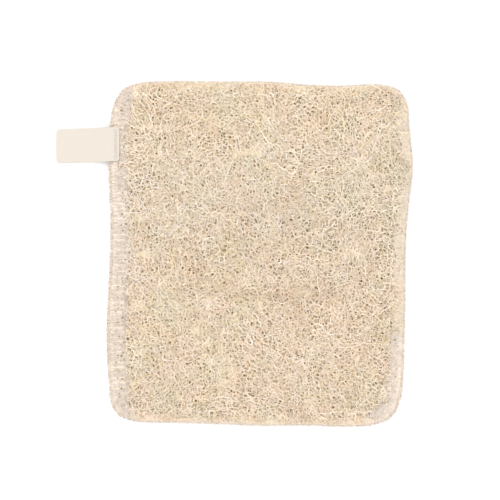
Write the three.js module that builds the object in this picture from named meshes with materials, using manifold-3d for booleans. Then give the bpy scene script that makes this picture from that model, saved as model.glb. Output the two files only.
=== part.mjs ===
// A flat loofah bath sponge: one pressed pad of loofah with rounded corners, its cut edge
// bound by a three-thread overlock stitch, and a folded cotton tape label sewn over the rim.
// Millimetres, +Z up. The origin is the middle of the underside, which lies on the table.
import * as THREE from "three";
import { mergeVertices } from "three/addons/utils/BufferGeometryUtils.js";
import Module from "manifold-3d";

const wasm = await Module();
wasm.setup();

// The pad
const padThickness = 8;
const edgeTop = 5.7; // height of the pad's upper face where the stitching starts
const edgeBottom = 1.7; // height of its underside there
const topShoulder = 30; // inward distance over which the upper face climbs to full height
const bottomShoulder = 18;
const rimMiddle = 3.6; // height of the middle of the stitched rim above the table
const rimThickness = 2; // loofah pressed flat under the threads
const gap = 0.3; // clearance between neighbouring pieces

// The underside stands on a matted spot in its middle and on three crossings of its net.
const standOff = 0.3; // height of the rest of the net over them
const lowCrossings = [[0, 46], [-42, -28], [42, -28]];
const restingSpot = 8; // radius of the matted spot

// The net of fibres on both faces, drawn larger than life
const topCell = 7.2; // distance between the middles of two openings
const bottomCell = 8;
const cellDepth = 2.1;
const cellFloor = 0.32; // radius of an opening's floor, as a share of the cell
const mattedShare = 0.1; // share of openings that are closed by matted fibre
const ridgeDrop = 0.4; // unevenness of the upper face's ridges
const overlapHeight = 0.4; // the two halves of the pad run into each other by this much

// The overlock stitch
const stitchCount = 104;
const stitchDip = 0.25; // height of a thread over the hollow between two threads
const threadLayer = 0.35;
const edgeThread = 0.6; // thickness of the threads that wrap the cut edge
const bandWidth = { left: 8.8, right: 6.6, top: 5.8, bottom: 5.2 };
const needleWidth = 0.8;
const needleHeight = 0.6;
const needleGroove = needleWidth + 2 * 0.35;

// The folded label
const tapeWidth = 16;
const tapeThickness = 0.45;
const tapeCentreY = 50.8;
const tapeFoldX = -95.3;
const tapeEndX = -65.5;
const labelSeamX = -67.2;
const labelStitches = 6;
const labelStitchLength = 2.4;
const postSize = 0.6;

const colours = { loofah: 0xe9d5b5, thread: 0xf3e6da, tape: 0xf8ece0 };

// The pad's outer edge seen from above, threads included, anticlockwise from the label's side.
const outlinePoints = [
  // left side, downwards
  [-69.5, 60.5], [-70.3, 36], [-69.5, 15], [-70, -6], [-71.3, -37], [-70.3, -60],
  // lower left corner
  [-69.3, -69.5], [-65.6, -75.3], [-57.8, -77.9],
  // lower edge
  [-40, -78.5], [-18, -79.2], [2, -80], [22, -79.8], [40.5, -80.4],
  // lower right corner
  [54.5, -79.3], [61.8, -75.6], [65.6, -67.5],
  // right side, upwards
  [67, -52], [67.7, -22], [68, 6], [69.4, 23], [71.2, 41], [69.6, 60],
  // upper right corner
  [68.6, 70.3], [64.8, 76.4], [56, 79],
  // upper edge
  [38, 78.4], [22, 78.9], [6, 80.2], [-18, 80.3], [-44, 80.5],
  // upper left corner
  [-57, 79.5], [-64.3, 76.2], [-68, 69.5],
];
const outline = new THREE.CatmullRomCurve3(
  outlinePoints.map(([x, y]) => new THREE.Vector3(x, y, 0)),
  true,
  "centripetal",
);

// A repeatable random number between 0 and 1.
function seededRandom(seed) {
  let state = seed;
  return () => {
    state = (state * 1664525 + 1013904223) % 4294967296;
    return state / 4294967296;
  };
}

// Points spaced evenly round the outline, each with the direction that points into the pad.
function stationsAlongOutline(count) {
  const points = outline.getSpacedPoints(count).slice(0, count);
  return points.map((point, i) => {
    const before = points[(i + count - 1) % count];
    const after = points[(i + 1) % count];
    const along = after.clone().sub(before).normalize();
    return { point, inward: new THREE.Vector3(-along.y, along.x, 0) };
  });
}

// How far the looper threads reach in from the edge: widest along the label's side.
function reachOfThreads(inward) {
  const share = (amount) => Math.max(amount, 0) ** 2;
  return (
    bandWidth.left * share(inward.x) +
    bandWidth.right * share(-inward.x) +
    bandWidth.top * share(-inward.y) +
    bandWidth.bottom * share(inward.y)
  );
}

const rulers = stationsAlongOutline(320);

// How far a point lies inside the outer edge; 0 outside it.
function distanceInside(x, y) {
  let nearest = null;
  let best = Infinity;
  for (const station of rulers) {
    const distance = Math.hypot(x - station.point.x, y - station.point.y);
    if (distance < best) {
      best = distance;
      nearest = station;
    }
  }
  const { point, inward } = nearest;
  const inside = (x - point.x) * inward.x + (y - point.y) * inward.y > 0;
  return inside ? best : 0;
}

function topHeight(x, y) {
  const climb = THREE.MathUtils.smoothstep(distanceInside(x, y), bandWidth.top, topShoulder);
  return edgeTop + (padThickness - edgeTop) * climb;
}

function bottomHeight(x, y) {
  const fall = THREE.MathUtils.smoothstep(distanceInside(x, y), bandWidth.top, bottomShoulder);
  const lift = standOff * THREE.MathUtils.smoothstep(Math.hypot(x, y), restingSpot, 2 * restingSpot);
  return lift + (edgeBottom - standOff) * (1 - fall);
}

function geometryFrom(points, triangles) {
  const geometry = new THREE.BufferGeometry();
  geometry.setAttribute("position", new THREE.Float32BufferAttribute(points.flat(), 3));
  geometry.setIndex(triangles.flat());
  return geometry;
}

function solidFrom(geometry) {
  const bare = geometry.clone();
  bare.deleteAttribute("normal");
  bare.deleteAttribute("uv");
  const merged = mergeVertices(bare, 1e-4);
  const mesh = new wasm.Mesh({
    numProp: 3,
    vertProperties: new Float32Array(merged.attributes.position.array),
    triVerts: new Uint32Array(merged.index.array),
  });
  return new wasm.Manifold(mesh);
}

function geometryOf(solid) {
  const { vertProperties, triVerts } = solid.getMesh();
  const geometry = new THREE.BufferGeometry();
  geometry.setAttribute("position", new THREE.BufferAttribute(new Float32Array(vertProperties), 3));
  geometry.setIndex(new THREE.BufferAttribute(new Uint32Array(triVerts), 1));
  return geometry;
}

// The openings grow shallow towards the stitched rim, where the loofah is pressed flat.
function netFade(x, y) {
  return THREE.MathUtils.smoothstep(distanceInside(x, y), 6, 12);
}

// One face of the pad as a closed slab. Its outer face is a raised net round uneven six-sided
// openings, each sunk to a small three-cornered floor. facing is 1 for the upper face and -1
// for the underside; backZ is the flat side, inside the pad; drop is how far a crossing of
// ridges may lie below the face; lowPoints are the places of crossings that touch the table.
function netSlab({ cell, facing, heightAt, backZ, drop, lowPoints, seed }) {
  const random = seededRandom(seed);
  const rowHeight = (cell * Math.sqrt(3)) / 2;
  const zigzag = rowHeight / 6;
  const columns = 2 * Math.ceil(152 / cell) + 1;
  const rows = 2 * Math.ceil(85 / rowHeight);
  const points = [];
  const triangles = [];
  const face = (a, b, c) => triangles.push(facing > 0 ? [a, b, c] : [a, c, b]);
  const cornerIndex = (column, row) => row * (columns + 1) + column;
  const placed = (column, row) => ({
    x: (column - columns / 2) * (cell / 2),
    y: (row - rows / 2) * rowHeight,
  });

  for (let row = 0; row <= rows; row++) {
    for (let column = 0; column <= columns; column++) {
      const { x, y } = placed(column, row);
      const turn = (column + row) % 2 ? zigzag : -zigzag;
      const moved = [x + (random() - 0.5) * cell * 0.34, y + turn + (random() - 0.5) * cell * 0.34];
      points.push([...moved, heightAt(...moved) - facing * drop * random()]);
    }
  }

  for (const [x, y] of lowPoints) {
    const away = (point) => Math.hypot(point[0] - x, point[1] - y);
    points.reduce((best, point) => (away(point) < away(best) ? point : best))[2] = 0;
  }

  for (let row = 0; row < rows; row++) {
    for (let column = 1 + ((row + 1) % 2); column < columns; column += 2) {
      const { x, y } = placed(column, row + 0.5);
      const middle = [x + (random() - 0.5) * cell * 0.2, y + (random() - 0.5) * cell * 0.2];
      const depth = cellDepth * (random() < mattedShare ? 0 : 0.7 + 0.3 * random());
      const isMattedSpot = Math.hypot(x, y) < restingSpot * 0.6;
      const sunk = isMattedSpot ? 0 : depth * netFade(...middle);
      const ring = [
        [column - 1, row], [column, row], [column + 1, row],
        [column + 1, row + 1], [column, row + 1], [column - 1, row + 1],
      ].map(([c, r]) => cornerIndex(c, r));
      if (sunk < 0.1) {
        const centre = points.push([...middle, heightAt(...middle)]) - 1;
        ring.forEach((corner, i) => face(centre, corner, ring[(i + 1) % 6]));
        continue;
      }
      const floorZ = heightAt(...middle) - facing * sunk;
      const floor = [0, 1, 2].map((k) => {
        const angle = (k * 2 * Math.PI) / 3 - Math.PI / 2;
        const radius = cell * cellFloor * (0.8 + 0.4 * random());
        const x = middle[0] + radius * Math.cos(angle);
        const y = middle[1] + radius * Math.sin(angle);
        return points.push([x, y, floorZ]) - 1;
      });
      for (let k = 0; k < 3; k++) {
        face(ring[2 * k], ring[2 * k + 1], floor[k]);
        face(ring[2 * k + 1], ring[(2 * k + 2) % 6], floor[k]);
        face(ring[(2 * k + 2) % 6], floor[(k + 1) % 3], floor[k]);
      }
      face(...floor);
    }
    const firstGap = row % 2 === 0;
    if (firstGap) {
      face(cornerIndex(0, row), cornerIndex(1, row), cornerIndex(1, row + 1));
      face(cornerIndex(0, row), cornerIndex(1, row + 1), cornerIndex(0, row + 1));
    }
    const lastGap = (columns - 1 - (1 + ((row + 1) % 2))) % 2 !== 0;
    if (lastGap) {
      const c = columns - 1;
      face(cornerIndex(c, row), cornerIndex(c + 1, row), cornerIndex(c + 1, row + 1));
      face(cornerIndex(c, row), cornerIndex(c + 1, row + 1), cornerIndex(c, row + 1));
    }
  }

  // Walls down to the flat back, and the back itself
  const rim = [];
  for (let column = 0; column < columns; column++) rim.push(cornerIndex(column, 0));
  for (let row = 0; row < rows; row++) rim.push(cornerIndex(columns, row));
  for (let column = columns; column > 0; column--) rim.push(cornerIndex(column, rows));
  for (let row = rows; row > 0; row--) rim.push(cornerIndex(0, row));
  const back = rim.map((corner) => points.push([points[corner][0], points[corner][1], backZ]) - 1);
  const backMiddle = points.push([0, 0, backZ]) - 1;
  rim.forEach((corner, i) => {
    const next = (i + 1) % rim.length;
    face(corner, back[i], rim[next]);
    face(rim[next], back[i], back[next]);
    face(back[i], backMiddle, back[next]);
  });
  return solidFrom(geometryFrom(points, triangles));
}

// A flat plate whose edge lies a given distance inside the outer edge.
function plateInside(insetAt, bottomZ, topZ) {
  const edge = stationsAlongOutline(160).map(({ point, inward }) => {
    const moved = point.clone().addScaledVector(inward, insetAt(inward));
    return new THREE.Vector2(moved.x, moved.y);
  });
  const geometry = new THREE.ExtrudeGeometry(new THREE.Shape(edge), {
    depth: topZ - bottomZ,
    bevelEnabled: false,
  });
  return solidFrom(geometry.translate(0, 0, bottomZ));
}

// Holes for the label's sewing thread, or the thread's own upright parts.
function labelPosts(size, bottomZ, topZ) {
  const posts = [];
  for (let i = 0; i <= labelStitches; i++) {
    const y = tapeCentreY + (i - labelStitches / 2) * labelStitchLength;
    const post = new THREE.BoxGeometry(size, size, topZ - bottomZ);
    posts.push(solidFrom(post.translate(labelSeamX, y, (bottomZ + topZ) / 2)));
  }
  return posts.reduce((all, post) => all.add(post));
}

function withLabelHoles(solid) {
  return solid.subtract(labelPosts(postSize + 2 * gap, -1, padThickness + 1));
}

// The loofah: two netted faces, cut to the outline, with a thin rim for the threads.
function makePad() {
  const upper = netSlab({
    cell: topCell,
    facing: 1,
    heightAt: topHeight,
    backZ: rimMiddle - overlapHeight,
    drop: ridgeDrop,
    lowPoints: [],
    seed: 11,
  });
  const lower = netSlab({
    cell: bottomCell,
    facing: -1,
    heightAt: bottomHeight,
    backZ: rimMiddle + overlapHeight,
    drop: 0,
    lowPoints: lowCrossings,
    seed: 23,
  });
  const body = plateInside((inward) => reachOfThreads(inward) + needleGroove, -1, padThickness + 1);
  const rimHalf = rimThickness / 2;
  const rim = plateInside(() => edgeThread + gap, rimMiddle - rimHalf, rimMiddle + rimHalf);
  return geometryOf(withLabelHoles(upper.add(lower).intersect(body.add(rim))));
}

// A closed ring made of sections that each have the same number of corners.
function ringThrough(sections) {
  const corners = sections[0].length;
  const points = sections.flat();
  const triangles = [];
  sections.forEach((_, i) => {
    const here = i * corners;
    const ahead = ((i + 1) % sections.length) * corners;
    for (let j = 0; j < corners; j++) {
      const k = (j + 1) % corners;
      triangles.push([here + j, ahead + k, ahead + j], [here + j, here + k, ahead + k]);
    }
  });
  return geometryFrom(points, triangles);
}

// One looper thread's layer: an angle in section, over one face and half the cut edge.
// facing is 1 over the upper face and -1 over the underside. Threads and hollows alternate.
function makeLooper(facing) {
  const innerFace = rimThickness / 2 + gap;
  const sections = stationsAlongOutline(2 * stitchCount).map(({ point, inward }, i) => {
    const isThread = i % 2 === 0;
    const outerFace = innerFace + threadLayer + (isThread ? stitchDip : 0);
    const edge = isThread ? 0 : stitchDip;
    const reach = reachOfThreads(inward) - (isThread ? 0 : 2 * stitchDip);
    const profile = [
      [reach, outerFace],
      [edge + 0.5, outerFace],
      [edge, gap / 2],
      [edgeThread, gap / 2],
      [edgeThread, innerFace],
      [reach, innerFace],
    ];
    const corners = profile.map(([inset, height]) => [
      point.x + inward.x * inset,
      point.y + inward.y * inset,
      rimMiddle + facing * height,
    ]);
    return facing > 0 ? corners : corners.reverse();
  });
  return geometryOf(withLabelHoles(solidFrom(ringThrough(sections))));
}

// The needle thread: a line of stitches in the groove along the loopers' inner edge.
function makeNeedleThread() {
  const base = rimMiddle + rimThickness / 2 + gap;
  const sections = stationsAlongOutline(2 * stitchCount).map(({ point, inward }, i) => {
    const middle = reachOfThreads(inward) + needleGroove / 2;
    const top = base + needleHeight * (i % 2 === 0 ? 1 : 0.55);
    const profile = [
      [middle + needleWidth / 2, base],
      [middle, top],
      [middle - needleWidth / 2, base],
    ];
    return profile.map(([inset, height]) => [
      point.x + inward.x * inset,
      point.y + inward.y * inset,
      height,
    ]);
  });
  return ringThrough(sections);
}

// The tape folded in half: its ends hold the rim between them, and its fold rests low.
function makeLabelTape() {
  const plyOffset = rimThickness / 2 + gap + threadLayer + stitchDip + gap + tapeThickness / 2;
  const foldZ = 0.75;
  const plyGap = 0.24;
  const half = (tapeThickness + plyGap) / 2;
  const upperPly = [
    [tapeEndX, rimMiddle + plyOffset],
    [-70.6, rimMiddle + plyOffset],
    [-74, 4.3],
    [-78, 2.9],
    [-84, 1.95],
    [-90, foldZ + half + 0.35],
    [tapeFoldX + 1.2, foldZ + half],
  ];
  const fold = [[tapeFoldX + tapeThickness / 2, foldZ]];
  const lowerPly = [
    [tapeFoldX + 1.2, foldZ - half],
    [-90, foldZ - half + 0.3],
    [-84, 1.2],
    [-78, 1.75],
    [-74, 1.75],
    [-70.6, rimMiddle - plyOffset],
    [tapeEndX, rimMiddle - plyOffset],
  ];
  const line = new THREE.SplineCurve(
    [...upperPly, ...fold, ...lowerPly].map(([x, z]) => new THREE.Vector2(x, z)),
  );
  const steps = 32;
  const side = (sign) =>
    Array.from({ length: steps + 1 }, (_, i) => {
      const tangent = line.getTangent(i / steps);
      const normal = new THREE.Vector2(-tangent.y, tangent.x);
      return line.getPoint(i / steps).addScaledVector(normal, (sign * tapeThickness) / 2);
    });
  const section = new THREE.Shape([...side(1), ...side(-1).reverse()]);
  const tape = new THREE.ExtrudeGeometry(section, { depth: tapeWidth, bevelEnabled: false });
  tape.rotateX(Math.PI / 2).translate(0, tapeCentreY + tapeWidth / 2, 0);
  return geometryOf(withLabelHoles(solidFrom(tape)));
}

// The label's sewing thread: stitches on both tape ends, joined through the rim.
function makeLabelStitching() {
  const plyOuter = rimThickness / 2 + gap + threadLayer + stitchDip + gap + tapeThickness + gap;
  const stitchHeight = 0.45;
  let thread = labelPosts(postSize, rimMiddle - plyOuter - 0.2, rimMiddle + plyOuter + 0.2);
  for (const facing of [1, -1]) {
    for (let i = 0; i < labelStitches; i++) {
      const stitch = new THREE.CapsuleGeometry(stitchHeight / 2, labelStitchLength, 2, 6);
      const y = tapeCentreY + (i + 0.5 - labelStitches / 2) * labelStitchLength;
      stitch.translate(labelSeamX, y, rimMiddle + facing * (plyOuter + stitchHeight / 2));
      thread = thread.add(solidFrom(stitch));
    }
  }
  return geometryOf(thread);
}

function finish(color, roughness) {
  return new THREE.MeshStandardMaterial({ color, roughness, metalness: 0 });
}

function piece(name, geometry, material) {
  const mesh = new THREE.Mesh(geometry, material);
  mesh.name = name;
  return mesh;
}

const loofahFinish = finish(colours.loofah, 0.75);
const threadFinish = finish(colours.thread, 0.85);
const tapeFinish = finish(colours.tape, 0.8);

const sponge = new THREE.Group();
sponge.add(
  piece("loofah_pad", makePad(), loofahFinish),
  piece("overlock_upper_looper", makeLooper(1), threadFinish),
  piece("overlock_lower_looper", makeLooper(-1), threadFinish),
  piece("overlock_needle_thread", makeNeedleThread(), threadFinish),
  piece("label_tape", makeLabelTape(), tapeFinish),
  piece("label_stitching", makeLabelStitching(), threadFinish),
);

export default sponge;
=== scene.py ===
# A flat loofah bath sponge lying on a pale studio floor, seen from straight above.
# The pad is a thick net of dried fibres, its edge is overlocked with cotton thread, and a
# folded cotton tape is sewn over its left edge. Lengths are in millimetres until a mesh is
# made, which is in metres.
import math

import bpy
import numpy as np
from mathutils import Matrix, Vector, geometry


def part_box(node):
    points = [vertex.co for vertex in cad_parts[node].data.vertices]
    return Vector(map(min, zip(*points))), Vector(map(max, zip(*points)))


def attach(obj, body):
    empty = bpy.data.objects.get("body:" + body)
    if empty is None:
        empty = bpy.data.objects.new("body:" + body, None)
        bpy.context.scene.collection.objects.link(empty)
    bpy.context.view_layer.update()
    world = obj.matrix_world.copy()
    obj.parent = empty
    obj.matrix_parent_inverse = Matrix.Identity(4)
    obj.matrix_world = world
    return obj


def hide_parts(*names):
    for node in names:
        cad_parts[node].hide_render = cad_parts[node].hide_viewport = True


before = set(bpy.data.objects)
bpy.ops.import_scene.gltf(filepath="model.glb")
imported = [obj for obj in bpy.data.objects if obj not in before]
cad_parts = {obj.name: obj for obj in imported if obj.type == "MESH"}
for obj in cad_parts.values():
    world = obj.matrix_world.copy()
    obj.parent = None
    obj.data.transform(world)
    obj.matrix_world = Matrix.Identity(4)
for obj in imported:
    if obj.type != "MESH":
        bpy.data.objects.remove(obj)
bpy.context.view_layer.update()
mm = 0.001


def cadSpan(node, axis):
    low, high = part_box(node)
    return low[axis] / mm, high[axis] / mm


# Heights that the solids give
padBottom, padTop = cadSpan("loofah_pad", 2)
rimMiddle = (cadSpan("overlock_upper_looper", 2)[0] + cadSpan("overlock_lower_looper", 2)[1]) / 2

padShape = {
    "edgeTop": 5.7,         # height of the upper face beside the seam
    "edgeBottom": 1.7,      # height of the underside there
    "rimHalf": 1.1,         # half the thickness of the loofah under the threads
    "rimRound": 2,          # how far in its rounded edge reaches
    "step": (-0.5, 2.5),    # where the faces leave the seam, from its inner edge
    "topShoulder": 30,      # how far in the upper face reaches full height
    "bottomShoulder": 18,
    "unevenness": 0.3,      # soft humps on the upper face
    "humpsWithin": 8,       # how far past the seam they reach full height
}

# Width of the seam along each side, and how much wider it grows round the lower right corner
seamWidth = {
    "left": 8.8, "right": 6.6, "top": 5.8, "bottom": 5.2,
    "atCorner": 2.4, "cornerX": (48, 60), "cornerY": (-54, -68),
}

# The pad's outer edge from above, anticlockwise from the label's side, as the solids have it
outline = [
    (-69.5, 60.5), (-70.3, 36), (-69.5, 15), (-70, -6), (-71.3, -37), (-70.3, -60),
    (-69.3, -69.5), (-65.6, -75.3), (-57.8, -77.9),
    (-40, -78.5), (-18, -79.2), (2, -80), (22, -79.8), (40.5, -80.4),
    (54.5, -79.3), (61.8, -75.6), (65.6, -67.5),
    (67, -52), (67.7, -22), (68, 6), (69.4, 23), (71.2, 41), (69.6, 60),
    (68.6, 70.3), (64.8, 76.4), (56, 79),
    (38, 78.4), (22, 78.9), (6, 80.2), (-18, 80.3), (-44, 80.5),
    (-57, 79.5), (-64.3, 76.2), (-68, 69.5),
]
rimPoints = 720


# Curves, distances and soft noise

def smoothStep(low, high, value):
    t = np.clip((value - low) / (high - low), 0, 1)
    return t * t * (3 - 2 * t)


def hermite(p1, m1, p2, m2, t):
    return (
        (2 * t**3 - 3 * t**2 + 1) * p1
        + (t**3 - 2 * t**2 + t) * m1
        + (-2 * t**3 + 3 * t**2) * p2
        + (t**3 - t**2) * m2
    )


# Points along smooth spans from p1 to p2, where p0 comes before them and p3 after
def smoothSpans(p0, p1, p2, p3, count):
    t = np.linspace(0, 1, count, endpoint=False)[None, :, None]
    return hermite(p1[:, None], ((p2 - p0) / 2)[:, None], p2[:, None], ((p3 - p1) / 2)[:, None], t)


def closedCurve(controls, perSpan=24):
    p = np.array(controls, float)
    t = np.linspace(0, 1, perSpan, endpoint=False)[:, None]
    spans = []
    for i in range(len(p)):
        p0, p1, p2, p3 = (p[(i + k) % len(p)] for k in (-1, 0, 1, 2))
        a, b, c = (math.sqrt(np.linalg.norm(q)) for q in (p1 - p0, p2 - p1, p3 - p2))
        m1 = ((p1 - p0) / a - (p2 - p0) / (a + b) + (p2 - p1) / b) * b
        m2 = ((p2 - p1) / b - (p3 - p1) / (b + c) + (p3 - p2) / c) * b
        spans.append(hermite(p1, m1, p2, m2, t))
    return np.concatenate(spans)


def evenlyAlong(curve, count):
    loop = np.vstack([curve, curve[:1]])
    run = np.concatenate([[0], np.cumsum(np.linalg.norm(np.diff(loop, axis=0), axis=1))])
    at = np.linspace(0, run[-1], count, endpoint=False)
    return np.stack([np.interp(at, run, loop[:, k]) for k in (0, 1)], axis=1), run[-1]


rim, rimLength = evenlyAlong(closedCurve(outline), rimPoints)
rimAlong = np.roll(rim, -1, axis=0) - np.roll(rim, 1, axis=0)
rimAlong /= np.linalg.norm(rimAlong, axis=1)[:, None]
rimInward = np.stack([-rimAlong[:, 1], rimAlong[:, 0]], axis=1)


def seamReach(place, inward):
    x, y = place.T
    left, bottom = np.maximum(inward, 0).T ** 2
    right, top = np.maximum(-inward, 0).T ** 2
    return (
        seamWidth["left"] * left
        + seamWidth["right"] * right
        + seamWidth["top"] * top
        + seamWidth["bottom"] * bottom
        + seamWidth["atCorner"] * smoothStep(*seamWidth["cornerX"], x) * smoothStep(*seamWidth["cornerY"], y)
    )


# Reads a square lattice of values between its points
def between(values, i, j, fx, fy):
    near = values[i, j] * (1 - fx) + values[i + 1, j] * fx
    far = values[i, j + 1] * (1 - fx) + values[i + 1, j + 1] * fx
    return near * (1 - fy) + far * fy


# Values on a square lattice over the pad
class Field:
    def __init__(self, step=0.5, halfSize=(80, 88)):
        self.step = step
        self.low = -np.array(halfSize, float)
        self.shape = tuple(int(2 * h / step) + 1 for h in halfSize)
        self.values = np.zeros(self.shape)

    def lattice(self):
        x = self.low[0] + self.step * np.arange(self.shape[0])
        y = self.low[1] + self.step * np.arange(self.shape[1])
        return np.meshgrid(x, y, indexing="ij")

    def read(self, x, y):
        gx = np.clip((x - self.low[0]) / self.step, 0, self.shape[0] - 1.001)
        gy = np.clip((y - self.low[1]) / self.step, 0, self.shape[1] - 1.001)
        i, j = gx.astype(int), gy.astype(int)
        return between(self.values, i, j, gx - i, gy - j)


# How far in from the rim every place lies, and how wide the seam is at the rim nearest to it
def measureRim():
    inside, width = Field(), Field()
    x, y = inside.lattice()
    widths = seamReach(rim, rimInward)
    for row in range(inside.shape[0]):
        dx = x[row][:, None] - rim[None, :, 0]
        dy = y[row][:, None] - rim[None, :, 1]
        squared = dx**2 + dy**2
        nearest = squared.argmin(axis=1)
        pick = (np.arange(len(nearest)), nearest)
        side = dx[pick] * rimInward[nearest, 0] + dy[pick] * rimInward[nearest, 1]
        inside.values[row] = np.sqrt(squared[pick]) * np.sign(side)
        width.values[row] = widths[nearest]
    return inside, width


rimDistance, reachField = measureRim()
noiseHalf = 120     # the noise covers this much to every side of the middle


# Soft noise between -1 and 1, with humps of about the given size
def softNoise(size, seed):
    count = int(2 * noiseHalf / size) + 4
    lattice = np.random.default_rng(seed).uniform(-1, 1, (count, count))

    def at(x, y):
        gx, gy = (x + noiseHalf) / size, (y + noiseHalf) / size
        i, j = np.floor(gx).astype(int), np.floor(gy).astype(int)
        return between(lattice, i, j, smoothStep(0, 1, gx - i), smoothStep(0, 1, gy - j))

    return at


hump = softNoise(15, 5)
smallHump = softNoise(6, 6)
seamPatches = softNoise(7, 8)
seamFringe = softNoise(3.5, 12)

# Where the seam's thread lies bare: wholly on the label's side and round the lower right
# corner, and in patches along the other edges, where fibres have worked up through it
bareSeam = {
    "left": (-56, -62),
    "right": (56, 61), "rightBelow": (-33, -39),
    "corner": (42, 56), "cornerBelow": (-64, -71),
    "elsewhere": 0.18, "moreAtRight": 0.2, "rightEdge": (60, 64), "patches": 0.45,
    "clean": 0.8,           # how clean the bare thread is, where 1 is white
    "cleanerAtRight": 0.06, "cleanerFrom": (50, 60),
    "worn": (0.3, 1.1),     # distances from the edge where its folded side is white
}


def seamShows(x, y):
    bare = smoothStep(*bareSeam["left"], x)
    bare = np.maximum(bare, smoothStep(*bareSeam["right"], x) * smoothStep(*bareSeam["rightBelow"], y))
    bare = np.maximum(bare, smoothStep(*bareSeam["corner"], x) * smoothStep(*bareSeam["cornerBelow"], y))
    patchy = bareSeam["elsewhere"] + bareSeam["moreAtRight"] * smoothStep(*bareSeam["rightEdge"], x)
    return np.clip(np.maximum(bare, patchy + bareSeam["patches"] * seamPatches(x, y)), 0, 1)


def seamTone(x, y):
    worn = 1 - smoothStep(*bareSeam["worn"], rimDistance.read(x, y))
    atRight = smoothStep(*bareSeam["rightBelow"], y)
    clean = bareSeam["clean"] + bareSeam["cleanerAtRight"] * smoothStep(*bareSeam["cleanerFrom"], x) * atRight
    return np.maximum(clean * seamShows(x, y), worn)


# Share of the rim's full thickness at a distance from its rounded edge
def rimWrap(d):
    return np.sqrt(1 - (1 - np.clip(d / padShape["rimRound"], 0, 1)) ** 2)


# A crease left in the upper face from folding; its tone is painted shade on the fibres in it
crease = {
    "start": -38, "end": 40, "fade": 6, "y": -18, "slope": -0.02, "waver": 2,
    # tone: painted shade that darkens the fibres in the crease
    "width": 3.0, "depth": 0.6, "tone": 0.5,
}


def creased(x, y):
    start, end, fade = crease["start"], crease["end"], crease["fade"]
    off = y - crease["y"] - crease["slope"] * x - crease["waver"] * smallHump(x, y)
    ends = smoothStep(start - fade, start + fade, x) * (1 - smoothStep(end - fade, end + fade, x))
    return ends * np.exp(-((off / crease["width"]) ** 2))


# From nothing at the seam to one beside it
def besideSeam(d, w):
    before, past = padShape["step"]
    return smoothStep(w + before, w + past, d)


def upperFace(x, y):
    d, w = rimDistance.read(x, y), reachField.read(x, y)
    beside = rimMiddle + padShape["rimHalf"]
    z = rimMiddle + padShape["rimHalf"] * rimWrap(d)
    z += (padShape["edgeTop"] - beside) * besideSeam(d, w)
    z += (padTop - padShape["edgeTop"]) * smoothStep(seamWidth["top"], padShape["topShoulder"], d)
    soft = 0.7 * hump(x, y) + 0.3 * smallHump(x, y) - 0.6   # only the tallest reach full height
    z += padShape["unevenness"] * soft * smoothStep(w, w + padShape["humpsWithin"], d)
    return z - crease["depth"] * creased(x, y)


def lowerFace(x, y):
    d, w = rimDistance.read(x, y), reachField.read(x, y)
    beside = rimMiddle - padShape["rimHalf"]
    z = rimMiddle - padShape["rimHalf"] * rimWrap(d)
    z -= (beside - padShape["edgeBottom"]) * besideSeam(d, w)
    inner = smoothStep(seamWidth["top"], padShape["bottomShoulder"], d)
    return z - (padShape["edgeBottom"] - padBottom) * inner


# Meshes, node trees and materials

def meshObject(name, points, edges=(), faces=(), **pointValues):
    mesh = bpy.data.meshes.new(name)
    mesh.from_pydata(
        (np.asarray(points) * mm).tolist(),
        [tuple(edge) for edge in edges],
        [tuple(face) for face in faces],
    )
    for key, values in pointValues.items():
        layer = mesh.attributes.new(key, "FLOAT", "POINT")
        layer.data.foreach_set("value", np.asarray(values, dtype=np.float32))
    piece = bpy.data.objects.new(name, mesh)
    bpy.context.collection.objects.link(piece)
    return piece


def colour(hexText):
    channels = [int(hexText[i : i + 2], 16) / 255 for i in (1, 3, 5)]
    linear = [c / 12.92 if c <= 0.04045 else ((c + 0.055) / 1.055) ** 2.4 for c in channels]
    return (*linear, 1)


# Adds a node with its settings, and fills its inputs with numbers, hex colours or links.
# Stops are a colour ramp's places and colours.
def addNode(tree, kind, inputs=None, stops=(), **settings):
    made = tree.nodes.new(kind)
    for key, value in settings.items():
        setattr(made, key, value)
    for socket, value in (inputs or {}).items():
        if isinstance(value, bpy.types.NodeSocket):
            tree.links.new(value, made.inputs[socket])
        elif isinstance(value, str) and value.startswith("#"):
            made.inputs[socket].default_value = colour(value)
        else:
            made.inputs[socket].default_value = value
    if stops:
        elements = made.color_ramp.elements
        while len(elements) < len(stops):
            elements.new(0.5)
        for element, (position, shade) in zip(elements, stops):
            element.position = position
            element.color = colour(shade)
    return made


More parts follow.
